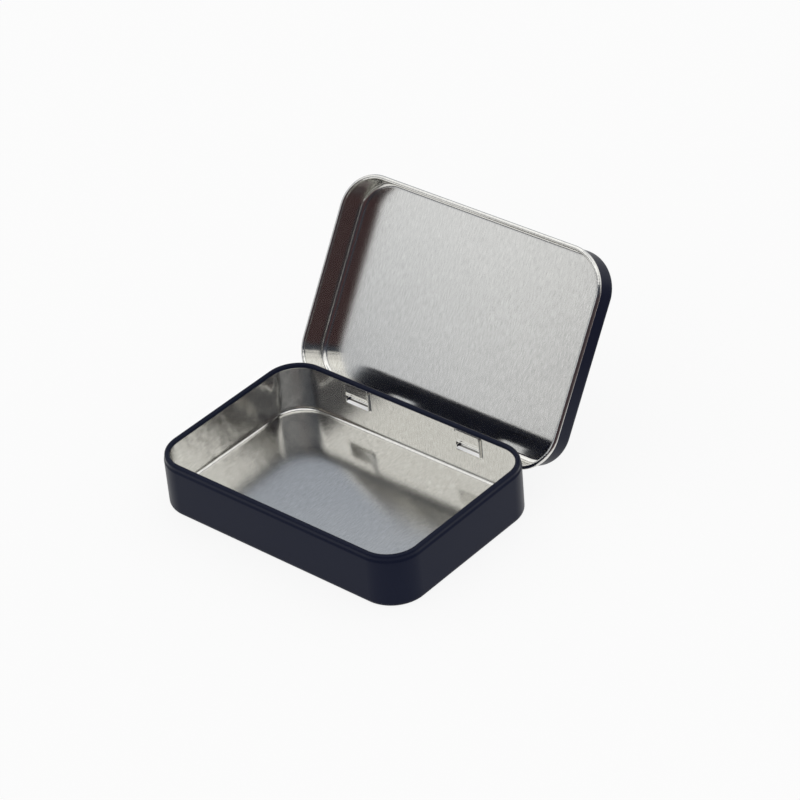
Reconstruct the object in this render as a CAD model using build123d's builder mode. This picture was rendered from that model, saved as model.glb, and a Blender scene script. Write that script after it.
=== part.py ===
from build123d import *
import os
from math import cos, radians, sin, sqrt

# A hinged pocket tin in millimetres, standing open: a drawn base and a drawn lid of thin tinned steel.
# X runs along the long side, +Y points back to the hinge and +Z up, from the middle of the underside.

# Sheet and curled rims. Small rounds are swept in short chords that each turn by a few degrees.
sheet_thickness = 0.24
curl_turn = 270
curl_chord_turn = 22.5
edge_chord_turn = 18

# Base
base_length = 91.6
base_width = 62.0
base_height = 17.3
base_corner_radius = 10.7
bottom_edge_radius = 1.45
base_curl_diameter = 1.6
neck_height = 0.6

# Lid
lid_depth = 9.8
lid_curl_diameter = 1.4
panel_edge_radius = 2.0
wall_clearance = 0.35
rim_clearance = 0.3
swing_clearance = 0.12
open_angle = 121.7

# Hinges: a pad pressed into the back wall, a window in it, and a strap that the lid's curl turns on
hinge_spacing = 41.6
pad_width = 9.8
pad_press = 0.5
pad_neck_gap = 0.1
pad_drop = 1.45
pad_slope = 45
pad_corner_radius = 1.0
window_width = 8.4
window_rise = 3.15
window_drop = 0.75
window_corner_radius = 0.3
strap_bend_radius = 0.5
hinge_clearance = 0.05
notch_clearance = 0.3
notch_headroom = 0.1
stop_gap = 0.05

# How far the rim section reaches in under the flat, as a share of the corner radius
flat_reach_share = 0.5

# Worked out from the sizes above
base_curl_radius = base_curl_diameter / 2
lid_curl_radius = lid_curl_diameter / 2
panel_level = base_height + rim_clearance
closed_height = panel_level + sheet_thickness
lid_side = wall_clearance + sheet_thickness
lid_length = base_length + 2 * lid_side
lid_width = base_width + 2 * lid_side
lid_corner_radius = base_corner_radius + lid_side
flat_reach = flat_reach_share * base_corner_radius

# The hinge line is the centre of the lid's back curl
hinge_y = base_width / 2 + wall_clearance + lid_curl_radius
hinge_z = closed_height - lid_depth + lid_curl_radius

# The base is necked in below its curl, so that the front of the rim clears the lid's front wall
front_reach = hinge_y + base_width / 2 + wall_clearance - swing_clearance - base_curl_radius
curl_rise = base_height - base_curl_radius - hinge_z
neck_depth = hinge_y + base_width / 2 - base_curl_radius - sqrt(front_reach**2 - curl_rise**2)
neck_top = base_height - base_curl_diameter
neck_bottom = neck_top - neck_height

# The strap is as tall as turns freely in the bore of the curl
strap_reach = lid_curl_radius - sheet_thickness - hinge_clearance
strap_height = 2 * sqrt(strap_reach**2 - (sheet_thickness / 2) ** 2)

# Places at the hinges: heights are measured from the hinge line
hinge_places = (-hinge_spacing / 2, hinge_spacing / 2)
pad_rise = neck_bottom - pad_neck_gap - hinge_z
leg_inset = window_width / 2
notch_width = sheet_thickness + 2 * notch_clearance


def rim_path(length, width, corner_radius):
    """Closed rounded rectangle, from the middle of the front side."""
    with BuildLine() as path:
        FilletPolyline(
            (0, -width / 2),
            (length / 2, -width / 2),
            (length / 2, width / 2),
            (0, width / 2),
            radius=corner_radius,
        )
        mirror(about=Plane.YZ)
    return path.wire()


def round_points(centre, radius, start_angle, turn, chord_turn):
    """Points along a round stretch, ready for a polyline."""
    chords = max(2, round(abs(turn) / chord_turn))
    angles = [radians(start_angle + turn * step / chords) for step in range(chords + 1)]
    return [(centre[0] + radius * cos(a), centre[1] + radius * sin(a)) for a in angles]


def front_plane(width):
    """Section plane at the middle of the front side: x runs inwards and y up."""
    return Plane(origin=(0, -width / 2, 0), x_dir=(0, 1, 0), z_dir=(1, 0, 0))


def flat_outline(length, width, corner_radius, height):
    """The flat sheet inside the rim section, at the given height."""
    with BuildSketch(Plane.XY.offset(height)) as outline:
        RectangleRounded(
            length - 2 * flat_reach,
            width - 2 * flat_reach,
            corner_radius - flat_reach,
        )
    return outline.sketch


def back_patch(hinge_x, depth, width, rise, drop, corner_radius):
    """Rounded rectangle on the back wall, facing inwards, from below the hinge line to above it."""
    back_plane = Plane(
        origin=(hinge_x, base_width / 2 - depth, hinge_z),
        x_dir=(1, 0, 0),
        z_dir=(0, -1, 0),
    )
    with BuildSketch(back_plane) as patch:
        with Locations((0, (rise - drop) / 2)):
            RectangleRounded(width, rise + drop, corner_radius)
    return patch.sketch


def stop_line(height):
    """How far back the lid's stop face stands at a height from the hinge line, with the lid shut."""
    stop_reach = strap_height / 2 + stop_gap
    turn = radians(open_angle)
    return (stop_reach + height * cos(turn)) / sin(turn)


def base_line(depth):
    """The base's sheet from under the flat to the end of the inward curl, at a depth below its outside."""
    return [
        (flat_reach, depth),
        *round_points(
            (bottom_edge_radius, bottom_edge_radius),
            bottom_edge_radius - depth,
            270,
            -90,
            edge_chord_turn,
        ),
        (depth, neck_bottom),
        (neck_depth + depth, neck_top),
        *round_points(
            (neck_depth + base_curl_radius, base_height - base_curl_radius),
            base_curl_radius - depth,
            180,
            -curl_turn,
            curl_chord_turn,
        ),
    ]


def lid_line(depth):
    """The shut lid's sheet from over the flat to the end of the outward curl, at a depth above its inside."""
    return [
        (flat_reach, panel_level + depth),
        *round_points(
            (panel_edge_radius, closed_height - panel_edge_radius),
            panel_edge_radius - sheet_thickness + depth,
            90,
            90,
            edge_chord_turn,
        ),
        (sheet_thickness - depth, hinge_z),
        *round_points(
            (sheet_thickness - lid_curl_radius, hinge_z),
            lid_curl_radius - depth,
            0,
            -curl_turn,
            curl_chord_turn,
        )[1:],
    ]


# Base: a section of the whole sheet is swept round the rim, and the flat fills the bottom
with BuildPart() as tin_base:
    with BuildSketch(front_plane(base_width)):
        with BuildLine():
            Polyline(base_line(0) + base_line(sheet_thickness)[::-1], close=True)
        make_face()
    sweep(path=rim_path(base_length, base_width, base_corner_radius))
    extrude(
        flat_outline(base_length, base_width, base_corner_radius, 0),
        amount=sheet_thickness,
    )

    # Each pad is pressed in from behind, with sloping sides and the sheet's thickness all over
    for hinge_x in hinge_places:
        pad = (pad_width, pad_rise, pad_drop, pad_corner_radius)
        extrude(
            back_patch(hinge_x, sheet_thickness, *pad),
            amount=pad_press,
            taper=pad_slope,
        )
        extrude(
            back_patch(hinge_x, 0, *pad),
            amount=pad_press,
            taper=pad_slope,
            mode=Mode.SUBTRACT,
        )
        window = (window_width, window_rise, window_drop, window_corner_radius)
        extrude(
            back_patch(hinge_x, 0, *window),
            amount=pad_press + 2 * sheet_thickness,
            mode=Mode.SUBTRACT,
        )

    # Each strap is the strip lanced from its window: two legs and a bar along the hinge line
    leg_root = base_width / 2 - pad_press - sheet_thickness
    strap_back = hinge_y + sheet_thickness / 2
    for hinge_x in hinge_places:
        strap_left = hinge_x - leg_inset - sheet_thickness / 2
        strap_right = hinge_x + leg_inset + sheet_thickness / 2
        with BuildSketch(Plane.XY.offset(hinge_z - strap_height / 2)):
            with BuildLine():
                FilletPolyline(
                    (strap_left, leg_root),
                    (strap_left, strap_back),
                    (strap_right, strap_back),
                    (strap_right, leg_root),
                    radius=strap_bend_radius,
                )
                offset(amount=sheet_thickness, side=Side.RIGHT)
            make_face()
        extrude(amount=strap_height)

# Lid, shut on the base: made as the base is, and its curl at the back is the hinge's barrel
with BuildPart() as shut_lid:
    with BuildSketch(front_plane(lid_width)):
        with BuildLine():
            Polyline(lid_line(0) + lid_line(sheet_thickness)[::-1], close=True)
        make_face()
    sweep(path=rim_path(lid_length, lid_width, lid_corner_radius))
    extrude(
        flat_outline(lid_length, lid_width, lid_corner_radius, panel_level),
        amount=sheet_thickness,
    )

    # Over each strap the curl is rebuilt truly round, as the barrel that turns on it
    barrel_top = hinge_z + lid_curl_radius
    for hinge_x in hinge_places:
        with BuildSketch(Plane.YZ.offset(hinge_x)):
            with Locations((hinge_y, barrel_top)):
                Rectangle(
                    2 * lid_curl_diameter,
                    2 * lid_curl_diameter,
                    align=(Align.CENTER, Align.MAX),
                )
        extrude(amount=leg_inset, both=True, mode=Mode.SUBTRACT)
        with BuildSketch(Plane.YZ.offset(hinge_x)):
            with BuildLine():
                Line(
                    (hinge_y - lid_curl_radius, barrel_top),
                    (hinge_y - lid_curl_radius, hinge_z),
                )
                CenterArc(
                    (hinge_y, hinge_z),
                    lid_curl_radius,
                    start_angle=180,
                    arc_size=curl_turn,
                )
                offset(amount=sheet_thickness, side=Side.RIGHT)
            make_face()
        extrude(amount=leg_inset, both=True)

    # Notches let the legs of the straps through, and their far sides stop the open lid against the legs
    headroom = strap_height / 2 + notch_headroom
    for hinge_x in hinge_places:
        for leg_x in (hinge_x - leg_inset, hinge_x + leg_inset):
            with BuildSketch(Plane.YZ.offset(leg_x)):
                with Locations((hinge_y, hinge_z)):
                    Polygon(
                        (-lid_curl_diameter, headroom),
                        (stop_line(headroom), headroom),
                        (stop_line(-lid_curl_diameter), -lid_curl_diameter),
                        (-lid_curl_diameter, -lid_curl_diameter),
                        align=None,
                    )
            extrude(amount=notch_width / 2, both=True, mode=Mode.SUBTRACT)

# The lid stands open, leaning back on its stops
hinge_line = Axis((0, hinge_y, hinge_z), (-1, 0, 0))
with BuildPart() as tin_lid:
    add(shut_lid.part.rotate(hinge_line, open_angle))

os.makedirs("parts", exist_ok=True)
tin_base.part.label = "tin_base"
export_step(tin_base.part, "parts/tin_base.step")
tin_lid.part.label = "tin_lid"
export_step(tin_lid.part, "parts/tin_lid.step")
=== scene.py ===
# %% [markdown]
# # A hinged mint tin
#
# A pocket mint tin is two shallow trays of tinplate, which is thin steel rolled with a coat of tin. One face
# of the sheet is painted before it is drawn into a tray, and the other stays bare. This lesson builds both
# trays with one Geometry Nodes tree, cuts the hinge out of them as a press would, and gives each face of the
# sheet its own finish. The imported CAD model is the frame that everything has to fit, so it is loaded first.

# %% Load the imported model
from math import cos, pi, radians, sin, sqrt

import bpy
from mathutils import Matrix, Vector


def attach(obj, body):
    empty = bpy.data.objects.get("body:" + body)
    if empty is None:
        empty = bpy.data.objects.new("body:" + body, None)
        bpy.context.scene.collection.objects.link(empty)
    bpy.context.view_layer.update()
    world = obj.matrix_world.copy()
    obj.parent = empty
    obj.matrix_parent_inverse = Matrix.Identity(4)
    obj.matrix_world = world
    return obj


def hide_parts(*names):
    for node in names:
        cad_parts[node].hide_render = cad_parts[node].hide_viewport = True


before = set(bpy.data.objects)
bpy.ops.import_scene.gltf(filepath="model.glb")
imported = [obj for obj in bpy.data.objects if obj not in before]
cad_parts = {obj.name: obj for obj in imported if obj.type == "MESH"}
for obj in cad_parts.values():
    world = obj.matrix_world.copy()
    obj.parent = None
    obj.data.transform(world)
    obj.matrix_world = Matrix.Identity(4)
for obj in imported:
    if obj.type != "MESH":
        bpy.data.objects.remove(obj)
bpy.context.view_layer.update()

# %% [markdown]
# ## Sizes
#
# Blender works in metres here, and sheet metal is measured in millimetres, so every size is written in
# millimetres and multiplied once. The names are those of the real tin's features: the sheet, the corner
# radius, the neck under the base's curl, the curls themselves and the hinge.

# %% Sizes of the tin
MM = 0.001

sheet_thickness = 0.24 * MM
curl_turn = radians(270)

base_length, base_width, base_height = 91.6 * MM, 62.0 * MM, 17.3 * MM
base_corner_radius = 10.7 * MM
base_curl_radius = 0.8 * MM
neck_height = 0.6 * MM
bottom_edge_radius = 1.45 * MM

lid_depth = 9.8 * MM
lid_curl_radius = 0.7 * MM
panel_edge_radius = 2.0 * MM
wall_clearance = 0.35 * MM
rim_clearance = 0.3 * MM
swing_clearance = 0.12 * MM
open_angle = radians(121.7)

lid_side = wall_clearance + sheet_thickness
lid_length, lid_width = base_length + 2 * lid_side, base_width + 2 * lid_side
lid_corner_radius = base_corner_radius + lid_side
closed_height = base_height + rim_clearance + sheet_thickness

hinge_y = base_width / 2 + wall_clearance + lid_curl_radius
hinge_z = closed_height - lid_depth + lid_curl_radius

front_reach = hinge_y + base_width / 2 + wall_clearance - swing_clearance - base_curl_radius
curl_rise = base_height - base_curl_radius - hinge_z
neck_depth = hinge_y + base_width / 2 - base_curl_radius - sqrt(front_reach**2 - curl_rise**2)
neck_top = base_height - 2 * base_curl_radius
neck_bottom = neck_top - neck_height
print(f"hinge line at y {hinge_y / MM:.2f} mm, z {hinge_z / MM:.2f} mm, neck {neck_depth / MM:.3f} mm deep")

# %% [markdown]
# ## Camera
#
# The photograph was taken with a long lens from the front right, looking down by about a third of a right
# angle. The camera is placed from those angles round a point between the base and the lid, so that its
# numbers read as a photographer would say them: how far round, how high, how far away, how much it leans.

# %% Camera at the photograph's place
PICTURE_SIDE = 800
around, above, lean = radians(42.928), radians(34.335), radians(-5.203)
distance = 910.076 * MM
looked_at = Vector((-5.755, 32.566, 15.0)) * MM
focal_length_px = 3154.66

towards_camera = Vector((sin(around) * cos(above), -cos(around) * cos(above), sin(above)))
level_right = Vector((0, 0, 1)).cross(towards_camera).normalized()
level_up = towards_camera.cross(level_right)
camera_right = level_right * cos(lean) + level_up * sin(lean)
camera_up = level_up * cos(lean) - level_right * sin(lean)

camera_data = bpy.data.cameras.new("photo camera")
camera_data.sensor_width = 36
camera_data.lens = focal_length_px / PICTURE_SIDE * camera_data.sensor_width
camera = bpy.data.objects.new("photo camera", camera_data)
bpy.context.scene.collection.objects.link(camera)
turned = Matrix((camera_right, camera_up, towards_camera)).transposed().to_4x4()
camera.matrix_world = Matrix.Translation(looked_at + towards_camera * distance) @ turned
bpy.context.scene.camera = camera
print(f"camera: {camera_data.lens:.1f} mm lens at {[round(c, 3) for c in camera.location]}")

# %% [markdown]
# ## Small helpers
#
# Colours are picked as hex codes, the way a paint chart or an image editor gives them, and Blender's shaders
# want linear light, so one function converts them. Another adds a node with its settings and links, which
# keeps each tree below short enough to read. The last one starts a material.

# %% Helpers for colours and nodes
def linear(hex_code):
    """An sRGB hex colour as the linear RGBA that shaders use."""
    channels = [int(hex_code[i : i + 2], 16) / 255 for i in (1, 3, 5)]
    return (*[c / 12.92 if c <= 0.04045 else ((c + 0.055) / 1.055) ** 2.4 for c in channels], 1)


def add_node(tree, kind, settings=None, inputs=None):
    """Adds a node. An input is a plain value or the socket of another node that feeds it."""
    node = tree.nodes.new(kind)
    for name, value in (settings or {}).items():
        setattr(node, name, value)
    for name, value in (inputs or {}).items():
        if isinstance(value, bpy.types.NodeSocket):
            tree.links.new(value, node.inputs[name])
        else:
            node.inputs[name].default_value = value
    return node


def empty_material(name):
    """A material with no nodes yet, and its tree."""
    material = bpy.data.materials.new(name)
    material.use_nodes = True
    material.node_tree.nodes.clear()
    return material, material.node_tree


print("white is", linear("#FFFFFF"))

# %% [markdown]
# ## Bright tinplate
#
# Tinplate is steel strip with a few thousandths of a millimetre of tin, melted bright. It mirrors its
# surroundings softly. The work rolls leave fine grinding lines that all run one way, which blur reflections
# across them more than along them. The grain is drawn on the flat blank's own coordinates, kept in the UV
# map "blank", so it runs up the walls exactly as the real grain does when the blank is drawn.
#
# The press leaves marks of its own: faint clouds all over, puckers on the walls, and soft upright folds
# round the corners, where there is more sheet than room for it. The tray's tree keeps in the attribute
# "squeeze" how hard each place was squeezed, from 0 on the flat to 1 in a corner, and puckers and folds are
# as deep as that says.

# %% Tinplate
SHORT_WALL_SQUEEZE, LONG_WALL_SQUEEZE = 0.3, 0.06

# Pattern: lines per millimetre along the blank's two sides, levels of detail, share of the finer levels.
# Real roll lines are some hundredths of a millimetre apart, too fine to show, so these are 0.4 mm apart.
# Clouds are 8 to 20 mm across and puckers about 4 mm.
BLANK_PATTERNS = {
    "grain": ((2.5, 0.4), 3, 0.6),
    "clouds": ((0.07, 0.07), 3, 0.5),
    "puckers": ((0.24, 0.24), 1, 0.5),
}


def tinplate_material():
    material, tree = empty_material("bright_tinplate")
    blank = add_node(tree, "ShaderNodeUVMap", {"uv_map": "blank"})
    heights = {}
    for name, ((across, along), detail, finer) in BLANK_PATTERNS.items():
        place = add_node(
            tree,
            "ShaderNodeMapping",
            inputs={"Vector": blank.outputs["UV"], "Scale": (across / MM, along / MM, 1)},
        )
        pattern = add_node(
            tree,
            "ShaderNodeTexNoise",
            inputs={"Vector": place.outputs[0], "Scale": 1, "Detail": detail, "Roughness": finer},
        )
        heights[name] = pattern.outputs["Fac"]

    # Round the corners the folds are 2 to 4 mm apart. Only there does the direction outwards turn
    outwards = add_node(tree, "ShaderNodeAttribute", {"attribute_name": "outwards"})
    folds = add_node(
        tree,
        "ShaderNodeTexNoise",
        inputs={"Vector": outwards.outputs["Vector"], "Scale": 4, "Detail": 2, "Roughness": 0.6},
    )
    heights["folds"] = folds.outputs["Fac"]

    # Puckers reach their depth on the short walls. Folds and dullness are only in the corners
    squeeze = add_node(tree, "ShaderNodeAttribute", {"attribute_name": "squeeze"})
    squeezed = {}
    for name, start, end, most in (
        ("puckers", 0.0, SHORT_WALL_SQUEEZE, 0.09 * MM),
        ("folds", SHORT_WALL_SQUEEZE, 1.0, 0.18 * MM),
        ("dullness", SHORT_WALL_SQUEEZE, 1.0, 0.03),
    ):
        grown = add_node(
            tree,
            "ShaderNodeMapRange",
            inputs={
                "Value": squeeze.outputs["Fac"],
                "From Min": start,
                "From Max": end,
                "To Min": 0.0,
                "To Max": most,
            },
        )
        squeezed[name] = grown.outputs["Result"]

    depths = {
        "grain": 0.0013 * MM,
        "clouds": 0.03 * MM,
        "puckers": squeezed["puckers"],
        "folds": squeezed["folds"],
    }
    relief = {}
    for name, depth in depths.items():
        bump = add_node(
            tree,
            "ShaderNodeBump",
            inputs={"Height": heights[name], "Strength": 1, "Distance": depth, **relief},
        )
        relief = {"Normal": bump.outputs["Normal"]}

    colour = add_node(
        tree,
        "ShaderNodeMix",
        {"data_type": "RGBA"},
        {"Factor": heights["grain"], 6: linear("#C5C4C0"), 7: linear("#F7F6F1")},
    )
    roughness = add_node(
        tree,
        "ShaderNodeMapRange",
        inputs={
            "Value": heights["clouds"],
            "From Min": 0.0,
            "From Max": 1.0,
            "To Min": 0.13,
            "To Max": 0.17,
        },
    )
    duller = add_node(
        tree,
        "ShaderNodeMath",
        {"operation": "ADD"},
        {0: roughness.outputs["Result"], 1: squeezed["dullness"]},
    )
    along = add_node(tree, "ShaderNodeTangent", {"direction_type": "UV_MAP", "uv_map": "blank"})
    metal = add_node(
        tree,
        "ShaderNodeBsdfPrincipled",
        inputs={
            "Base Color": colour.outputs[2],
            "Metallic": 1,
            "Roughness": duller.outputs[0],
            "Anisotropic": 0.85,
            "Tangent": along.outputs["Tangent"],
            **relief,
        },
    )
    add_node(tree, "ShaderNodeOutputMaterial", inputs={"Surface": metal.outputs[0]})
    return material


tinplate = tinplate_material()
print("material:", tinplate.name)

# %% [markdown]
# ## Satin black enamel
#
# The outside is a baked enamel, rolled onto the flat sheet and cured before drawing: black with a trace of
# blue, matt enough to show no clear reflection. Seen close it has a fine orange-peel skin, about half a
# millimetre from dimple to dimple.

# %% Satin black enamel
def enamel_material():
    material, tree = empty_material("satin_black_enamel")
    place = add_node(tree, "ShaderNodeTexCoord")
    # Dimples are 0.5 mm apart, and the faint smudges that change the gloss about 17 mm
    peel = add_node(
        tree,
        "ShaderNodeTexNoise",
        inputs={"Vector": place.outputs["Object"], "Scale": 2 / MM, "Detail": 2, "Roughness": 0.5},
    )
    smudges = add_node(
        tree,
        "ShaderNodeTexNoise",
        inputs={"Vector": place.outputs["Object"], "Scale": 0.06 / MM, "Detail": 3, "Roughness": 0.6},
    )
    colour = add_node(
        tree,
        "ShaderNodeMix",
        {"data_type": "RGBA"},
        {"Factor": smudges.outputs["Fac"], 6: linear("#14192C"), 7: linear("#181D30")},
    )
    roughness = add_node(
        tree,
        "ShaderNodeMapRange",
        inputs={
            "Value": smudges.outputs["Fac"],
            "From Min": 0.3,
            "From Max": 0.7,
            "To Min": 0.3,
            "To Max": 0.38,
        },
    )
    bump = add_node(
        tree,
        "ShaderNodeBump",
        inputs={"Height": peel.outputs["Fac"], "Strength": 1, "Distance": 0.004 * MM},
    )
    enamel = add_node(
        tree,
        "ShaderNodeBsdfPrincipled",
        inputs={
            "Base Color": colour.outputs[2],
            "Roughness": roughness.outputs["Result"],
            "IOR": 1.5,
            "Specular IOR Level": 0.085,
            "Normal": bump.outputs["Normal"],
        },
    )
    add_node(tree, "ShaderNodeOutputMaterial", inputs={"Surface": enamel.outputs[0]})
    return material


enamel = enamel_material()
print("material:", enamel.name)

# %% [markdown]
# ## One recipe for both trays
#
# A drawn tray is one line, the section of its sheet, carried round a rounded rectangle. The section goes
# from the flat, round the bottom edge, up the wall, in at the neck, and round the curl. The lid is the same
# tray turned over, with no neck and with its curl rolled outwards. So one Geometry Nodes tree makes both.
# The rim's outline comes in as the object's own mesh, and the section is drawn in the tree from named sizes.
#
# The line is the sheet's painted face. Solidify gives it thickness afterwards, on the bare side. The tree
# also keeps three things for the tinplate: the direction outwards, the flat blank's coordinates, and how
# hard each place was squeezed.

# %% The tree that draws a tray
MERGE_DISTANCE = 0.001 * MM


def tray_tree():
    tree = bpy.data.node_groups.new("drawn tray", "GeometryNodeTree")
    tree.is_modifier = True
    face = tree.interface
    face.new_socket(name="Geometry", in_out="INPUT", socket_type="NodeSocketGeometry")
    for name in (
        "Flat Reach",
        "Edge Radius",
        "Wall Top",
        "Neck Depth",
        "Neck Top",
        "Curl Level",
        "Curl Radius",
        "Curl Side",
        "Curl Turn",
    ):
        face.new_socket(name=name, in_out="INPUT", socket_type="NodeSocketFloat")
    for name in ("Edge Steps", "Wall Steps", "Curl Steps"):
        face.new_socket(name=name, in_out="INPUT", socket_type="NodeSocketInt")
    face.new_socket(name="Paint", in_out="INPUT", socket_type="NodeSocketMaterial")
    face.new_socket(name="Geometry", in_out="OUTPUT", socket_type="NodeSocketGeometry")
    sizes = add_node(tree, "NodeGroupInput").outputs

    # The section lies in XY, with X outwards from the wall and Y up. Straight stretches join these points
    inwards = {}
    for name in ("Flat Reach", "Edge Radius", "Neck Depth"):
        turned = add_node(tree, "ShaderNodeMath", {"operation": "MULTIPLY"}, {0: sizes[name], 1: -1.0})
        inwards[name] = turned.outputs[0]
    points = {}
    for name, across, up in (
        ("flat start", inwards["Flat Reach"], 0.0),
        ("flat end", inwards["Edge Radius"], 0.0),
        ("wall start", 0.0, sizes["Edge Radius"]),
        ("wall end", 0.0, sizes["Wall Top"]),
        ("neck end", inwards["Neck Depth"], sizes["Neck Top"]),
        ("collar end", inwards["Neck Depth"], sizes["Curl Level"]),
    ):
        point = add_node(tree, "ShaderNodeCombineXYZ", inputs={0: across, 1: up})
        points[name] = point.outputs[0]
    stretches = {}
    for name, start, end, count in (
        ("flat", "flat start", "flat end", 3),
        ("wall", "wall start", "wall end", sizes["Wall Steps"]),
        ("neck", "wall end", "neck end", 5),
        ("collar", "neck end", "collar end", 4),
    ):
        line = add_node(
            tree,
            "GeometryNodeCurvePrimitiveLine",
            inputs={"Start": points[start], "End": points[end]},
        )
        stretches[name] = add_node(
            tree, "GeometryNodeResampleCurve", inputs={"Curve": line.outputs[0], "Count": count}
        )

    # The round ones are arcs moved to their centres. Curl Side is 1 where the sheet rolls inwards and -1
    # where it rolls outwards, and then the arc starts from its other side
    other_side = add_node(
        tree, "ShaderNodeMath", {"operation": "LESS_THAN"}, {0: sizes["Curl Side"], 1: 0.0}
    )
    half_turn_left = add_node(
        tree, "ShaderNodeMath", {"operation": "SUBTRACT"}, {0: pi, 1: sizes["Curl Turn"]}
    )
    curl_start = add_node(
        tree,
        "ShaderNodeMath",
        {"operation": "MULTIPLY"},
        {0: half_turn_left.outputs[0], 1: other_side.outputs[0]},
    )
    curl_in = add_node(
        tree,
        "ShaderNodeMath",
        {"operation": "MULTIPLY"},
        {0: sizes["Curl Radius"], 1: sizes["Curl Side"]},
    )
    curl_x = add_node(
        tree,
        "ShaderNodeMath",
        {"operation": "SUBTRACT"},
        {0: inwards["Neck Depth"], 1: curl_in.outputs[0]},
    )
    for name, start, turn, across, up in (
        ("Edge", -pi / 2, pi / 2, inwards["Edge Radius"], sizes["Edge Radius"]),
        ("Curl", curl_start.outputs[0], sizes["Curl Turn"], curl_x.outputs[0], sizes["Curl Level"]),
    ):
        steps = add_node(
            tree, "ShaderNodeMath", {"operation": "ADD"}, {0: sizes[name + " Steps"], 1: 1.0}
        )
        arc = add_node(
            tree,
            "GeometryNodeCurveArc",
            inputs={
                "Resolution": steps.outputs[0],
                "Radius": sizes[name + " Radius"],
                "Start Angle": start,
                "Sweep Angle": turn,
            },
        )
        centre = add_node(tree, "ShaderNodeCombineXYZ", inputs={0: across, 1: up})
        stretches[name] = add_node(
            tree,
            "GeometryNodeTransform",
            inputs={"Geometry": arc.outputs[0], "Translation": centre.outputs[0]},
        )

    # The six stretches become one line: as edges they are merged end to end, then read as a curve again
    together = add_node(tree, "GeometryNodeJoinGeometry")
    for name in ("flat", "Edge", "wall", "neck", "collar", "Curl"):
        tree.links.new(stretches[name].outputs[0], together.inputs[0])
    edges = add_node(tree, "GeometryNodeCurveToMesh", inputs={"Curve": together.outputs[0]})
    joined = add_node(
        tree,
        "GeometryNodeMergeByDistance",
        inputs={"Geometry": edges.outputs[0], "Distance": MERGE_DISTANCE},
    )
    section = add_node(tree, "GeometryNodeMeshToCurve", inputs={"Mesh": joined.outputs[0]})
    hung = add_node(
        tree,
        "GeometryNodeTransform",
        inputs={"Geometry": section.outputs[0], "Scale": (1, -1, 1)},
    )

    # Outwards is square to the rim, and it is kept on each point for the flat blank's coordinates
    rim = add_node(tree, "GeometryNodeMeshToCurve", inputs={"Mesh": sizes["Geometry"]})
    upright = add_node(tree, "GeometryNodeSetCurveNormal", {"mode": "Z_UP"}, {"Curve": rim.outputs[0]})
    rim_normal = add_node(tree, "GeometryNodeInputNormal")
    marked = add_node(
        tree,
        "GeometryNodeStoreNamedAttribute",
        {"data_type": "FLOAT_VECTOR", "domain": "POINT"},
        {"Geometry": upright.outputs[0], "Name": "outwards", "Value": rim_normal.outputs["Normal"]},
    )
    swept = add_node(
        tree,
        "GeometryNodeCurveToMesh",
        inputs={"Curve": marked.outputs[0], "Profile Curve": hung.outputs[0]},
    )

    # The flat fills the rim, drawn in by as much as the section reaches
    reach_in = add_node(
        tree,
        "ShaderNodeVectorMath",
        {"operation": "SCALE"},
        {0: rim_normal.outputs["Normal"], "Scale": inwards["Flat Reach"]},
    )
    drawn_in = add_node(
        tree,
        "GeometryNodeSetPosition",
        inputs={"Geometry": marked.outputs[0], "Offset": reach_in.outputs[0]},
    )
    filled = add_node(tree, "GeometryNodeFillCurve", {"mode": "NGONS"}, {"Curve": drawn_in.outputs[0]})
    turned_down = add_node(tree, "GeometryNodeFlipFaces", inputs={"Mesh": filled.outputs[0]})
    both = add_node(tree, "GeometryNodeJoinGeometry")
    for part in (swept, turned_down):
        tree.links.new(part.outputs[0], both.inputs[0])
    sheet = add_node(
        tree,
        "GeometryNodeMergeByDistance",
        inputs={"Geometry": both.outputs[0], "Distance": MERGE_DISTANCE},
    )

    # Folded flat again, a point lies as far outside the rim as it now stands above the flat
    position = add_node(tree, "GeometryNodeInputPosition")
    height = add_node(tree, "ShaderNodeSeparateXYZ", inputs={0: position.outputs[0]})
    outwards = add_node(
        tree,
        "GeometryNodeInputNamedAttribute",
        {"data_type": "FLOAT_VECTOR"},
        {"Name": "outwards"},
    )
    folded_out = add_node(
        tree,
        "ShaderNodeVectorMath",
        {"operation": "SCALE"},
        {0: outwards.outputs["Attribute"], "Scale": height.outputs["Z"]},
    )
    blank = add_node(
        tree,
        "ShaderNodeVectorMath",
        {"operation": "ADD"},
        {0: position.outputs[0], 1: folded_out.outputs[0]},
    )
    mapped = add_node(
        tree,
        "GeometryNodeStoreNamedAttribute",
        {"data_type": "FLOAT2", "domain": "CORNER"},
        {"Geometry": sheet.outputs[0], "Name": "blank", "Value": blank.outputs[0]},
    )

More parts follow.
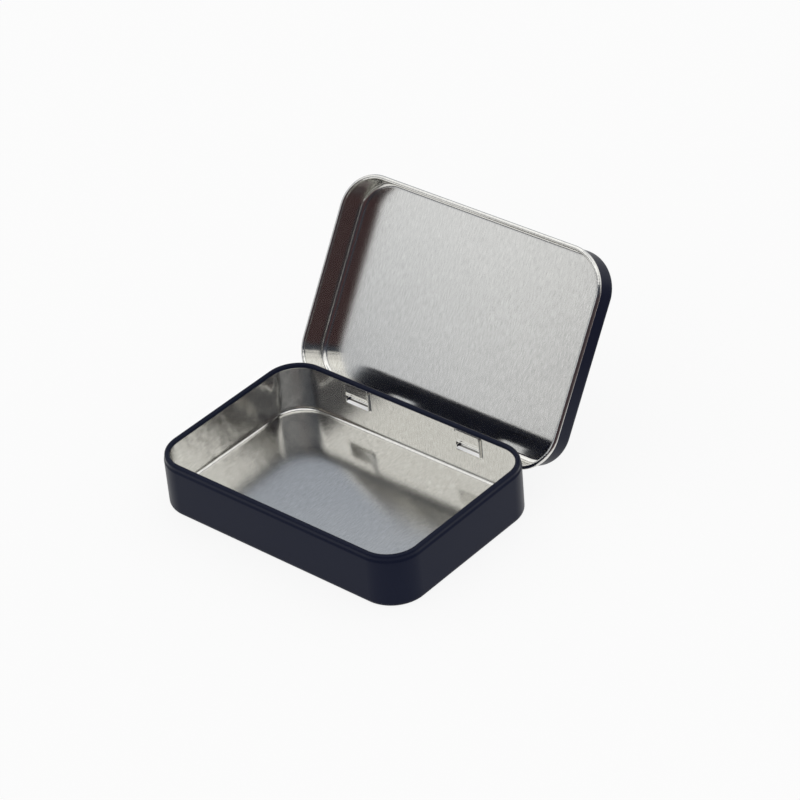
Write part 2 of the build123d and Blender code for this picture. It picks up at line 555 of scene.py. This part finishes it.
    # Drawing squeezes the sheet most where the wall goes round a corner, where outwards is along no axis.
    # It squeezes the short walls less, and the long walls least
    both_ways = add_node(
        tree, "ShaderNodeVectorMath", {"operation": "ABSOLUTE"}, {0: outwards.outputs["Attribute"]}
    )
    ways = add_node(tree, "ShaderNodeSeparateXYZ", inputs={0: both_ways.outputs[0]}).outputs
    most = add_node(tree, "ShaderNodeMath", {"operation": "MAXIMUM"}, {0: ways["X"], 1: ways["Y"]})
    on_side = add_node(
        tree,
        "ShaderNodeMath",
        {"operation": "MULTIPLY_ADD"},
        {0: ways["X"], 1: SHORT_WALL_SQUEEZE - LONG_WALL_SQUEEZE, 2: LONG_WALL_SQUEEZE},
    )
    in_corner = add_node(
        tree,
        "ShaderNodeMapRange",
        {"interpolation_type": "SMOOTHSTEP"},
        {
            "Value": most.outputs[0],
            "From Min": 1.0,
            "From Max": 0.9,
            "To Min": on_side.outputs[0],
            "To Max": 1.0,
        },
    )
    on_wall = add_node(
        tree,
        "ShaderNodeMapRange",
        {"interpolation_type": "SMOOTHSTEP"},
        {
            "Value": height.outputs["Z"],
            "From Min": 0.0,
            "From Max": sizes["Edge Radius"],
            "To Min": 0.0,
            "To Max": in_corner.outputs[0],
        },
    )
    squeezed = add_node(
        tree,
        "GeometryNodeStoreNamedAttribute",
        {"data_type": "FLOAT", "domain": "POINT"},
        {"Geometry": mapped.outputs[0], "Name": "squeeze", "Value": on_wall.outputs[0]},
    )
    realised = add_node(tree, "GeometryNodeRealizeInstances", inputs={"Geometry": squeezed.outputs[0]})
    painted = add_node(
        tree,
        "GeometryNodeSetMaterial",
        inputs={"Geometry": realised.outputs[0], "Material": sizes["Paint"]},
    )
    add_node(tree, "NodeGroupOutput", inputs={0: painted.outputs[0]})
    return tree


drawn_tray = tray_tree()
print("tray tree:", len(drawn_tray.nodes), "nodes")

# %% [markdown]
# ## The rim's outline
#
# The rim is a rounded rectangle. Its points are close together in the corners and near the hinges, where the
# sheet will be pressed and cut, and far apart along the plain straight sides, where more would add nothing.

# %% Outline of a rim
hinge_spacing = 41.6 * MM
hinge_places = (-hinge_spacing / 2, hinge_spacing / 2)
CORNER_STEPS = 24


def rim_outline(length, width, corner_radius, back_columns):
    """Points counterclockwise from the front right corner, with extra ones at the given x on the back."""
    points = []
    corners = ((1, -1, -90), (1, 1, 0), (-1, 1, 90), (-1, -1, 180))
    for side_x, side_y, start in corners:
        centre_x = side_x * (length / 2 - corner_radius)
        centre_y = side_y * (width / 2 - corner_radius)
        for step in range(CORNER_STEPS + 1):
            angle = radians(start + 90 * step / CORNER_STEPS)
            across, along = corner_radius * cos(angle), corner_radius * sin(angle)
            points.append((centre_x + across, centre_y + along, 0))
        if (side_x, side_y) == (1, 1):
            points += [(x, width / 2, 0) for x in sorted(back_columns, reverse=True)]
    return points


def outline_object(name, points):
    """A mesh object that is only the closed outline."""
    mesh = bpy.data.meshes.new(name)
    mesh.from_pydata(points, [(i, (i + 1) % len(points)) for i in range(len(points))], [])
    piece = bpy.data.objects.new(name, mesh)
    bpy.context.scene.collection.objects.link(piece)
    return piece


COLUMN_STEP = 0.25 * MM
near_hinge = [step * COLUMN_STEP for step in range(-24, 25)]
base_columns = [place + offset for place in hinge_places for offset in near_hinge]
print("columns near the hinges:", len(base_columns))

# %% [markdown]
# ## Baking a piece
#
# The tree and the modifiers after it are only a recipe. A piece that rides on the model is a plain mesh, so
# the result is read from the evaluated object, its faces are smoothed except at cut edges, and the recipe is
# taken off. The sign of the volume tells whether the faces look outwards.

# %% Baking and checking helpers
import bmesh


def add_recipe(piece, name, tree, sizes):
    """Adds a tree to the object as a modifier. Its inputs are set by the names that the tree gives them."""
    recipe = piece.modifiers.new(name, "NODES")
    recipe.node_group = tree
    for item in tree.interface.items_tree:
        if item.in_out == "INPUT" and item.name in sizes:
            recipe[item.identifier] = sizes[item.name]


def bake(piece, smooth_angle=32):
    """Turns the object's modifiers into a plain mesh with smooth faces and sharp cut edges."""
    evaluated = piece.evaluated_get(bpy.context.evaluated_depsgraph_get())
    mesh = bpy.data.meshes.new_from_object(evaluated)
    piece.modifiers.clear()
    old, piece.data = piece.data, mesh
    bpy.data.meshes.remove(old)
    mesh.name = piece.name
    mesh.shade_smooth()
    mesh.set_sharp_from_angle(angle=radians(smooth_angle))
    return piece


def report_mesh(piece):
    """Prints size, volume and how many edges aren't shared by exactly two faces."""
    shape = bmesh.new()
    shape.from_mesh(piece.data)
    open_edges = sum(not edge.is_manifold for edge in shape.edges)
    volume = shape.calc_volume(signed=True) / MM**3
    triangles = sum(len(face.verts) - 2 for face in shape.faces)
    corners = [vert.co / MM for vert in shape.verts]
    low = [round(min(c[axis] for c in corners), 2) for axis in range(3)]
    high = [round(max(c[axis] for c in corners), 2) for axis in range(3)]
    shape.free()
    print(f"{piece.name}: {triangles} triangles, {volume:.0f} mm3, {open_edges} open edges, {low} to {high}")


print("baking helpers ready")

# %% [markdown]
# ## The base
#
# The base's curl rolls inwards, so its painted face stays on top: that is why the rim is black. Two pads are
# pressed into the back wall from behind, and a window is cut in each. The pads are made by a second small
# tree that moves the sheet's points, as the punch does, before the sheet gets its thickness.

# %% The tree that presses the hinge pads
def pad_tree():
    tree = bpy.data.node_groups.new("pressed hinge pads", "GeometryNodeTree")
    tree.is_modifier = True
    face = tree.interface
    face.new_socket(name="Geometry", in_out="INPUT", socket_type="NodeSocketGeometry")
    for name in ("Spacing", "Half Width", "Middle Height", "Half Height", "Press", "Corner", "Wall"):
        face.new_socket(name=name, in_out="INPUT", socket_type="NodeSocketFloat")
    face.new_socket(name="Geometry", in_out="OUTPUT", socket_type="NodeSocketGeometry")
    sizes = add_node(tree, "NodeGroupInput").outputs
    position = add_node(tree, "GeometryNodeInputPosition")
    axes = add_node(tree, "ShaderNodeSeparateXYZ", inputs={0: position.outputs[0]}).outputs
    # How far the point is from the nearer pad's middle, sideways and up
    side = add_node(tree, "ShaderNodeMath", {"operation": "ABSOLUTE"}, {0: axes["X"]})
    half_spacing = add_node(tree, "ShaderNodeMath", {"operation": "MULTIPLY"}, {0: sizes["Spacing"], 1: 0.5})
    across = add_node(
        tree, "ShaderNodeMath", {"operation": "SUBTRACT"}, {0: side.outputs[0], 1: half_spacing.outputs[0]}
    )
    up = add_node(
        tree, "ShaderNodeMath", {"operation": "SUBTRACT"}, {0: axes["Z"], 1: sizes["Middle Height"]}
    )
    away = add_node(tree, "ShaderNodeCombineXYZ", inputs={0: across.outputs[0], 1: up.outputs[0]})
    folded = add_node(tree, "ShaderNodeVectorMath", {"operation": "ABSOLUTE"}, {0: away.outputs[0]})
    half = add_node(
        tree, "ShaderNodeCombineXYZ", inputs={0: sizes["Half Width"], 1: sizes["Half Height"]}
    )
    round_off = add_node(
        tree, "ShaderNodeCombineXYZ", inputs={0: sizes["Corner"], 1: sizes["Corner"]}
    )
    core = add_node(
        tree,
        "ShaderNodeVectorMath",
        {"operation": "SUBTRACT"},
        {0: half.outputs[0], 1: round_off.outputs[0]},
    )
    beyond = add_node(
        tree, "ShaderNodeVectorMath", {"operation": "SUBTRACT"}, {0: folded.outputs[0], 1: core.outputs[0]}
    )
    # Distance inside a rounded rectangle: the corners' round distance plus the straight sides' part
    outside = add_node(
        tree, "ShaderNodeVectorMath", {"operation": "MAXIMUM"}, {0: beyond.outputs[0], 1: (0, 0, 0)}
    )
    round_part = add_node(tree, "ShaderNodeVectorMath", {"operation": "LENGTH"}, {0: outside.outputs[0]})
    pair = add_node(tree, "ShaderNodeSeparateXYZ", inputs={0: beyond.outputs[0]}).outputs
    longer = add_node(tree, "ShaderNodeMath", {"operation": "MAXIMUM"}, {0: pair["X"], 1: pair["Y"]})
    straight_part = add_node(
        tree, "ShaderNodeMath", {"operation": "MINIMUM"}, {0: longer.outputs[0], 1: 0.0}
    )
    summed = add_node(
        tree,
        "ShaderNodeMath",
        {"operation": "ADD"},
        {0: round_part.outputs["Value"], 1: straight_part.outputs[0]},
    )
    inside = add_node(
        tree, "ShaderNodeMath", {"operation": "SUBTRACT"}, {0: sizes["Corner"], 1: summed.outputs[0]}
    )
    # The punch's flank slopes at 45 degrees, so the sheet is pressed as deep as the point is inside the pad
    pressed = add_node(
        tree,
        "ShaderNodeMapRange",
        {"interpolation_type": "SMOOTHSTEP"},
        {
            "Value": inside.outputs[0],
            "From Min": 0.0,
            "From Max": sizes["Press"],
            "To Min": 0.0,
            "To Max": sizes["Press"],
        },
    )
    forwards = add_node(
        tree, "ShaderNodeMath", {"operation": "MULTIPLY"}, {0: pressed.outputs[0], 1: -1.0}
    )
    move = add_node(tree, "ShaderNodeCombineXYZ", inputs={1: forwards.outputs[0]})
    on_back = add_node(
        tree, "ShaderNodeMath", {"operation": "GREATER_THAN"}, {0: axes["Y"], 1: sizes["Wall"]}
    )
    shaped = add_node(
        tree,
        "GeometryNodeSetPosition",
        inputs={
            "Geometry": sizes["Geometry"],
            "Selection": on_back.outputs[0],
            "Offset": move.outputs[0],
        },
    )
    add_node(tree, "NodeGroupOutput", inputs={0: shaped.outputs[0]})
    return tree


hinge_pads = pad_tree()
print("pad tree:", len(hinge_pads.nodes), "nodes")

# %% Cutters for the hinge windows
pad_width, pad_press, pad_drop = 9.8 * MM, 0.5 * MM, 1.45 * MM
pad_corner_radius, pad_neck_gap = 1.0 * MM, 0.1 * MM
pad_rise = neck_bottom - pad_neck_gap - hinge_z
window_width, window_rise, window_drop = 8.4 * MM, 3.15 * MM, 0.75 * MM
window_corner_radius = 0.3 * MM
WINDOW_CORNER_STEPS = 6


def prism_object(name, outlines, direction):
    """One hidden cutter made of prisms: each outline is a ring of points, pushed along the direction.

    The faces it leaves are bare metal, so it carries that material."""
    shape = bmesh.new()
    for outline in outlines:
        ring = [shape.verts.new(point) for point in outline]
        face = shape.faces.new(ring)
        grown = bmesh.ops.extrude_face_region(shape, geom=[face])["geom"]
        moved = [item for item in grown if isinstance(item, bmesh.types.BMVert)]
        bmesh.ops.translate(shape, verts=moved, vec=direction)
    bmesh.ops.recalc_face_normals(shape, faces=shape.faces)
    mesh = bpy.data.meshes.new(name)
    shape.to_mesh(mesh)
    shape.free()
    mesh.materials.append(tinplate)
    cutter = bpy.data.objects.new(name, mesh)
    bpy.context.scene.collection.objects.link(cutter)
    cutter.hide_render = True
    return cutter


def window_outline(place, y):
    """A rounded rectangle round the hinge line on the back wall."""
    ring = []
    radius = window_corner_radius
    low, high = hinge_z - window_drop + radius, hinge_z + window_rise - radius
    for side, level, start in ((1, low, -90), (1, high, 0), (-1, high, 90), (-1, low, 180)):
        for step in range(WINDOW_CORNER_STEPS + 1):
            angle = radians(start + 90 * step / WINDOW_CORNER_STEPS)
            x = place + side * (window_width / 2 - radius) + radius * cos(angle)
            ring.append((x, y, level + radius * sin(angle)))
    return ring


cutter_start = base_width / 2 - pad_press - 2 * sheet_thickness
window_cutter = prism_object(
    "window cutter",
    [window_outline(place, cutter_start) for place in hinge_places],
    (0, pad_press + 3 * sheet_thickness, 0),
)
print("window cutter:", len(window_cutter.data.polygons), "faces")

# %% Thickness, cuts and what both trays share
flat_reach = 2.6 * MM
EDGE_STEPS, CURL_STEPS = 10, 28


def add_thickness(piece):
    """The sheet's thickness goes on the bare side, and its cut edges are bare too."""
    piece.data.materials.append(tinplate)
    solid = piece.modifiers.new("thickness", "SOLIDIFY")
    solid.thickness = sheet_thickness
    solid.offset = -1
    solid.use_even_offset = True
    solid.material_offset = 1
    solid.material_offset_rim = 1


def cut(piece, cutter):
    """Cuts the sheet with a hidden cutter."""
    knife = piece.modifiers.new("cut", "BOOLEAN")
    knife.object = cutter
    knife.operation = "DIFFERENCE"
    knife.solver = "EXACT"
    knife.material_mode = "TRANSFER"


print("both trays reach", round(flat_reach / MM, 1), "mm in under the flat")

# %% Build the base
base = outline_object("base_sheet", rim_outline(base_length, base_width, base_corner_radius, base_columns))
add_recipe(
    base,
    "tray",
    drawn_tray,
    {
        "Flat Reach": flat_reach,
        "Edge Radius": bottom_edge_radius,
        "Wall Top": neck_bottom,
        "Neck Depth": neck_depth,
        "Neck Top": neck_top,
        "Curl Level": base_height - base_curl_radius,
        "Curl Radius": base_curl_radius,
        "Curl Side": 1.0,
        "Curl Turn": curl_turn,
        "Edge Steps": EDGE_STEPS,
        "Wall Steps": 50,
        "Curl Steps": CURL_STEPS,
        "Paint": enamel,
    },
)
# Only the sheet of the back wall is pressed, which is what lies this far back
back_wall_start = base_width / 2 - 0.1 * MM
add_recipe(
    base,
    "hinge pads",
    hinge_pads,
    {
        "Spacing": hinge_spacing,
        "Half Width": pad_width / 2,
        "Middle Height": hinge_z + (pad_rise - pad_drop) / 2,
        "Half Height": (pad_rise + pad_drop) / 2,
        "Press": pad_press,
        "Corner": pad_corner_radius,
        "Wall": back_wall_start,
    },
)
bake(base)
add_thickness(base)
cut(base, window_cutter)
bake(base)
report_mesh(base)
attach(base, "base")
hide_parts("tin_base")

# %% [markdown]
# ## The lid
#
# The lid comes from the same tree, drawn as a tray with no neck and with its curl rolled outwards, so the
# bare face is the one that shows on the rim. It is turned over onto the base, and at the back its curl is
# cut away at four notches, where the base's straps reach in. Then it swings open about the hinge line.

# %% Cutter for the notches
hinge_clearance, stop_gap = 0.05 * MM, 0.05 * MM
notch_clearance, notch_headroom = 0.3 * MM, 0.1 * MM
notch_width = sheet_thickness + 2 * notch_clearance
leg_inset = window_width / 2
strap_reach = lid_curl_radius - sheet_thickness - hinge_clearance
strap_height = 2 * sqrt(strap_reach**2 - (sheet_thickness / 2) ** 2)


def stop_line(height):
    """How far back the notch's far side stands at a height from the hinge line, with the lid shut."""
    return (strap_height / 2 + stop_gap + height * cos(open_angle)) / sin(open_angle)


def notch_outline(x):
    """The notch seen along the hinge line. Its far side leans, so that the open lid stops on the leg."""
    low, high = -2 * lid_curl_radius, strap_height / 2 + notch_headroom
    ring = ((low, high), (stop_line(high), high), (stop_line(low), low), (low, low))
    return [(x, hinge_y + y, hinge_z + z) for y, z in ring]


legs = [place + side * leg_inset for place in hinge_places for side in (-1, 1)]
notch_cutter = prism_object(
    "notch cutter", [notch_outline(leg - notch_width / 2) for leg in legs], (notch_width, 0, 0)
)
print("notches at", [round(leg / MM, 2) for leg in legs], "mm")

# %% Build the lid
column_gap = 6 * MM
lid_columns = [place + offset for place in hinge_places for offset in (-column_gap, 0, column_gap)]
lid = outline_object("lid_sheet", rim_outline(lid_length, lid_width, lid_corner_radius, lid_columns))

# The lid has no neck, so the tree's stretches for one are two short pieces of its plain wall
wall_piece = 1 * MM
lid_wall = closed_height - hinge_z
add_recipe(
    lid,
    "tray",
    drawn_tray,
    {
        "Flat Reach": flat_reach,
        "Edge Radius": panel_edge_radius,
        "Wall Top": lid_wall - 2 * wall_piece,
        "Neck Depth": 0.0,
        "Neck Top": lid_wall - wall_piece,
        "Curl Level": lid_wall,
        "Curl Radius": lid_curl_radius - sheet_thickness,
        "Curl Side": -1.0,
        "Curl Turn": curl_turn,
        "Edge Steps": EDGE_STEPS,
        "Wall Steps": 8,
        "Curl Steps": CURL_STEPS,
        "Paint": enamel,
    },
)
bake(lid)
turned_over = Matrix.Translation((0, 0, closed_height)) @ Matrix.Rotation(pi, 4, "Y")
lid.data.transform(turned_over)
add_thickness(lid)
cut(lid, notch_cutter)
bake(lid)
hinge_point = Vector((0, hinge_y, hinge_z))
swing = Matrix.Rotation(open_angle, 4, (-1, 0, 0))
lid.data.transform(Matrix.Translation(hinge_point) @ swing @ Matrix.Translation(-hinge_point))
report_mesh(lid)
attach(lid, "lid")
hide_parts("tin_lid")

# %% [markdown]
# ## The straps
#
# Each strap is a strip cut from its window and bent into a U that passes through the lid's curl. The strip
# is one line with two bends, swept as a ribbon and repeated at both hinges, so a third tree makes it.

# %% The tree that bends the straps
BEND_STEPS = 6


def strap_tree():
    tree = bpy.data.node_groups.new("bent straps", "GeometryNodeTree")
    tree.is_modifier = True
    face = tree.interface
    face.new_socket(name="Geometry", in_out="INPUT", socket_type="NodeSocketGeometry")
    for name in ("Bend Radius", "Height", "Spacing"):
        face.new_socket(name=name, in_out="INPUT", socket_type="NodeSocketFloat")
    face.new_socket(name="Paint", in_out="INPUT", socket_type="NodeSocketMaterial")
    face.new_socket(name="Geometry", in_out="OUTPUT", socket_type="NodeSocketGeometry")
    sizes = add_node(tree, "NodeGroupInput").outputs
    line = add_node(tree, "GeometryNodeMeshToCurve", inputs={"Mesh": sizes["Geometry"]})
    upright = add_node(tree, "GeometryNodeSetCurveNormal", {"mode": "Z_UP"}, {"Curve": line.outputs[0]})
    bent = add_node(
        tree,
        "GeometryNodeFilletCurve",
        {"mode": "POLY"},
        {"Curve": upright.outputs[0], "Count": BEND_STEPS, "Radius": sizes["Bend Radius"]},
    )
    half = add_node(tree, "ShaderNodeMath", {"operation": "MULTIPLY"}, {0: sizes["Height"], 1: 0.5})
    minus_half = add_node(tree, "ShaderNodeMath", {"operation": "MULTIPLY"}, {0: sizes["Height"], 1: -0.5})
    low = add_node(tree, "ShaderNodeCombineXYZ", inputs={1: half.outputs[0]})
    high = add_node(tree, "ShaderNodeCombineXYZ", inputs={1: minus_half.outputs[0]})
    edge = add_node(
        tree,
        "GeometryNodeCurvePrimitiveLine",
        inputs={"Start": low.outputs[0], "End": high.outputs[0]},
    )
    ribbon = add_node(
        tree,
        "GeometryNodeCurveToMesh",
        inputs={"Curve": bent.outputs[0], "Profile Curve": edge.outputs[0]},
    )
    position = add_node(tree, "GeometryNodeInputPosition")
    mapped = add_node(
        tree,
        "GeometryNodeStoreNamedAttribute",
        {"data_type": "FLOAT2", "domain": "CORNER"},
        {"Geometry": ribbon.outputs[0], "Name": "blank", "Value": position.outputs[0]},
    )
    first = add_node(tree, "ShaderNodeMath", {"operation": "MULTIPLY"}, {0: sizes["Spacing"], 1: -0.5})
    start = add_node(tree, "ShaderNodeCombineXYZ", inputs={0: first.outputs[0]})
    step = add_node(tree, "ShaderNodeCombineXYZ", inputs={0: sizes["Spacing"]})
    places = add_node(
        tree,
        "GeometryNodeMeshLine",
        inputs={"Count": 2, "Start Location": start.outputs[0], "Offset": step.outputs[0]},
    )
    repeated = add_node(
        tree,
        "GeometryNodeInstanceOnPoints",
        inputs={"Points": places.outputs[0], "Instance": mapped.outputs[0]},
    )
    realised = add_node(tree, "GeometryNodeRealizeInstances", inputs={"Geometry": repeated.outputs[0]})
    painted = add_node(
        tree,
        "GeometryNodeSetMaterial",
        inputs={"Geometry": realised.outputs[0], "Material": sizes["Paint"]},
    )
    add_node(tree, "NodeGroupOutput", inputs={0: painted.outputs[0]})
    return tree


bent_straps = strap_tree()
print("strap tree:", len(bent_straps.nodes), "nodes")

# %% Build the straps
strap_bend_radius = 0.5 * MM
leg_root = base_width / 2 - pad_press - sheet_thickness
strap_side = leg_inset + sheet_thickness / 2
strap_back = hinge_y + sheet_thickness / 2
strap_line = bpy.data.meshes.new("hinge_straps")
strap_line.from_pydata(
    [
        (strap_side, leg_root, hinge_z),
        (strap_side, strap_back, hinge_z),
        (-strap_side, strap_back, hinge_z),
        (-strap_side, leg_root, hinge_z),
    ],
    [(0, 1), (1, 2), (2, 3)],
    [],
)
straps = bpy.data.objects.new("hinge_straps", strap_line)
bpy.context.scene.collection.objects.link(straps)
add_recipe(
    straps,
    "bends",
    bent_straps,
    {
        "Bend Radius": strap_bend_radius,
        "Height": strap_height,
        "Spacing": hinge_spacing,
        "Paint": enamel,
    },
)
bake(straps)
add_thickness(straps)
bake(straps)
report_mesh(straps)
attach(straps, "base")
for cutter in (window_cutter, notch_cutter):
    bpy.data.objects.remove(cutter)

# %% [markdown]
# ## Floor, backdrop and light
#
# The tin stands on plain white paper in soft, even light. The white of the picture comes from the floor's
# own colour and from the world, which is plain white to the camera and to mirrors. For the same rays the
# floor's material mixes in a white glow, and keeps enough of the plain paper for the tin's shadow to show.
#
# The open lid shades the paper in the narrow gap behind the base, so the floor glows less there. This is a
# fixed oval of painted shade, which stays in place whatever the lid's pose. Inside it more of the plain paper
# shows, with the shadow that the lid really casts.

# %% Rays that see the background
def seen_directly(tree):
    """A socket that is 1 for the camera's rays and for those that mirrors and glass send on."""
    rays = add_node(tree, "ShaderNodeLightPath").outputs
    seen = rays["Is Camera Ray"]
    for name in ("Is Glossy Ray", "Is Transmission Ray"):
        either = add_node(tree, "ShaderNodeMath", {"operation": "MAXIMUM"}, {0: seen, 1: rays[name]})
        seen = either.outputs[0]
    return seen


print("the camera, mirrors and glass see the background as plain white")

# %% Floor
# The lower glow is painted shade: the open lid's shadow in the gap behind the base, fixed on the floor
GLOW, GLOW_IN_PAINTED_SHADE = 0.88, 0.45
PAINTED_SHADE_MIDDLE, PAINTED_SHADE_HALF_SIZES = (-0.009, 0.039, 0), (0.036, 0.011, 1)


def floor_material():
    material, tree = empty_material("white_table")
    paper = add_node(tree, "ShaderNodeBsdfDiffuse", inputs={"Color": linear("#F7F7F7")})
    white = add_node(tree, "ShaderNodeEmission", inputs={"Color": (1, 1, 1, 1), "Strength": 1})
    # How far the point is from the middle of the painted shade, where 1 is the edge of an oval of its sizes
    place = add_node(tree, "ShaderNodeTexCoord")
    from_painted_shade = add_node(
        tree,
        "ShaderNodeVectorMath",
        {"operation": "SUBTRACT"},
        {0: place.outputs["Object"], 1: PAINTED_SHADE_MIDDLE},
    )
    in_painted_shade_sizes = add_node(
        tree, "ShaderNodeVectorMath", {"operation": "DIVIDE"}, {0: from_painted_shade.outputs[0], 1: PAINTED_SHADE_HALF_SIZES}
    )
    from_middle = add_node(
        tree, "ShaderNodeVectorMath", {"operation": "LENGTH"}, {0: in_painted_shade_sizes.outputs[0]}
    )
    # Painted shade: inside the oval the white glow drops, so the paper looks shaded by the open lid
    glow = add_node(
        tree,
        "ShaderNodeMapRange",
        {"interpolation_type": "SMOOTHSTEP"},
        {
            "Value": from_middle.outputs["Value"],
            "From Min": 0.3,
            "From Max": 1.1,
            "To Min": GLOW_IN_PAINTED_SHADE,
            "To Max": GLOW,
        },
    )
    share = add_node(
        tree,
        "ShaderNodeMath",
        {"operation": "MULTIPLY"},
        {0: seen_directly(tree), 1: glow.outputs["Result"]},
    )
    mixed = add_node(
        tree,
        "ShaderNodeMixShader",
        inputs={0: share.outputs[0], 1: paper.outputs[0], 2: white.outputs[0]},
    )
    add_node(tree, "ShaderNodeOutputMaterial", inputs={"Surface": mixed.outputs[0]})
    return material


def flat_object(name, corners, material):
    """One flat face."""
    mesh = bpy.data.meshes.new(name)
    mesh.from_pydata(corners, [], [tuple(range(len(corners)))])
    mesh.materials.append(material)
    piece = bpy.data.objects.new(name, mesh)
    bpy.context.scene.collection.objects.link(piece)
    return piece


floor_level, floor_reach = -0.02 * MM, 3
sides = ((-1, -1), (1, -1), (1, 1), (-1, 1))
floor_corners = [(x * floor_reach, y * floor_reach, floor_level) for x, y in sides]
floor = flat_object("floor", floor_corners, floor_material())
print("floor is", 2 * floor_reach, "m wide")

# %% World
ROOM_LIGHT = 0.8


def white_world():
    world = bpy.data.worlds.new("white studio")
    world.use_nodes = True
    tree = world.node_tree
    tree.nodes.clear()
    room = add_node(tree, "ShaderNodeBackground", inputs={"Color": (1, 1, 1, 1), "Strength": ROOM_LIGHT})
    white = add_node(tree, "ShaderNodeBackground", inputs={"Color": (1, 1, 1, 1), "Strength": 1})
    mixed = add_node(
        tree,
        "ShaderNodeMixShader",
        inputs={0: seen_directly(tree), 1: room.outputs[0], 2: white.outputs[0]},
    )
    add_node(tree, "ShaderNodeOutputWorld", inputs={"Surface": mixed.outputs[0]})
    return world


bpy.context.scene.world = white_world()
bpy.context.scene.view_settings.view_transform = "Standard"
print("world:", bpy.context.scene.world.name)

# %% [markdown]
# ## Screens
#
# Bare metal looks like what stands round it. The tin stood in a white tent that is open towards the camera.
# So the metal mirrors white cloth nearly all round, a grey patch behind, and on the camera's side the dark
# room and the table in that room's shade. That shade is painted: a dark sheet lying on the table, which only
# the metal sees. Overhead the lit cloth is brightest, and a little duller at the crown.
#
# Each screen is a patch of a wide sphere round the tin, given by how far round from the front and how high
# it reaches, with soft edges. Only glossy rays see the screens, so they shape what the metal mirrors and
# leave the light on everything else alone.

# %% Screens with soft edges
SCREEN_COLUMNS, SCREEN_ROWS = 60, 30


def soft_glow(name, colour, strength):
    """Light of one colour that fades out where the mesh's attribute "cover" goes to nothing."""
    material, tree = empty_material(name)
    cover = add_node(tree, "ShaderNodeAttribute", {"attribute_name": "cover"})
    glow = add_node(tree, "ShaderNodeEmission", inputs={"Color": linear(colour), "Strength": strength})
    clear = add_node(tree, "ShaderNodeBsdfTransparent")
    mixed = add_node(
        tree,
        "ShaderNodeMixShader",
        inputs={0: cover.outputs["Fac"], 1: clear.outputs[0], 2: glow.outputs[0]},
    )
    add_node(tree, "ShaderNodeOutputMaterial", inputs={"Surface": mixed.outputs[0]})
    return material


def soft_step(distance, fade):
    """Rises smoothly from 0 at the edge to 1 at the fade's depth."""
    share = min(max(distance / fade, 0), 1)
    return share * share * (3 - 2 * share)


def screen(name, place, first, second, fades, colour, strength=1.0):
    """A patch of a surface over two ranges, fading at its edges. The place gives a point for two numbers.

    The fades are those at both ends of the first range, and at the low and the high end of the second."""
    points, cover, faces = [], [], []
    for row in range(SCREEN_ROWS + 1):
        for column in range(SCREEN_COLUMNS + 1):
            a = first[0] + (first[1] - first[0]) * column / SCREEN_COLUMNS
            b = second[0] + (second[1] - second[0]) * row / SCREEN_ROWS
            points.append(place(a, b))
            inside = soft_step(min(a - first[0], first[1] - a), fades[0])
            inside *= soft_step(b - second[0], fades[1]) * soft_step(second[1] - b, fades[2])
            cover.append(inside)
            if row and column:
                corner = row * (SCREEN_COLUMNS + 1) + column
                below = corner - SCREEN_COLUMNS - 1
                faces.append((corner, corner - 1, below - 1, below))
    mesh = bpy.data.meshes.new(name)
    mesh.from_pydata(points, [], faces)
    mesh.attributes.new("cover", "FLOAT", "POINT").data.foreach_set("value", cover)
    mesh.materials.append(soft_glow(name, colour, strength))
    piece = bpy.data.objects.new(name, mesh)
    bpy.context.scene.collection.objects.link(piece)
    piece.visible_camera = piece.visible_diffuse = piece.visible_shadow = piece.visible_transmission = False
    return piece


print("each screen has", SCREEN_COLUMNS * SCREEN_ROWS, "faces")

# %% Places for the screens
TENT_MIDDLE = Vector((0, 0.02, 0.02))
TABLE_MIDDLE = Vector((0, 0.01, -0.01 * MM))


def on_tent(radius):
    """Gives the point of a sphere that is so many degrees round from the front and so many up."""

    def place(around, above):
        turn, rise = radians(around), radians(above)
        direction = Vector((sin(turn) * cos(rise), -cos(turn) * cos(rise), sin(rise)))
        return TENT_MIDDLE + radius * direction

    return place


def on_table(around, reach):
    """The point of the table that is so many degrees round from the front and so many metres away."""
    turn = radians(around)
    return TABLE_MIDDLE + reach * Vector((sin(turn), -cos(turn), 0))


print("the tent's top is", round(on_tent(0.90)(0, 90).z, 2), "m up")

# %% Hang the screens
screen("left_cloth", on_tent(0.84), (-125, -24), (-9, 32), (20, 4, 12), "#EEF0F4")
screen("left_cloth_low", on_tent(0.83), (-125, -24), (-9, 24), (20, 4, 14), "#A5A9B0")
screen("back_grey", on_tent(0.86), (-185, -105), (8, 48), (14, 10, 10), "#9FA6B2")
screen("room_edge", on_tent(0.81), (-50, -14), (-9, 14), (14, 4, 8), "#3A3740")
screen("room_warm", on_tent(0.79), (12, 58), (-9, 34), (11, 4, 12), "#4B383A")
screen("room_low", on_tent(0.80), (-34, 118), (-9, 36), (16, 4, 14), "#3A383E")
screen("room_high", on_tent(0.82), (-34, 118), (18, 47), (16, 8, 9), "#474C57")
# Painted shade: a dark sheet lying on the white table, seen only in the metal, for the table in the dark
# room's shade
screen("painted_table_shade", on_table, (-30, 165), (0.07, 0.80), (20, 0.05, 0.02), "#5A4E50")
screen("tent_top", on_tent(0.90), (-180, 180), (48, 90), (0.1, 12, 0.1), "#FFFFFF", 1.32)
screen("tent_crown", on_tent(0.88), (-180, 180), (68, 90), (0.1, 12, 0.1), "#C4C8CE")
print("screens hung round the tin")
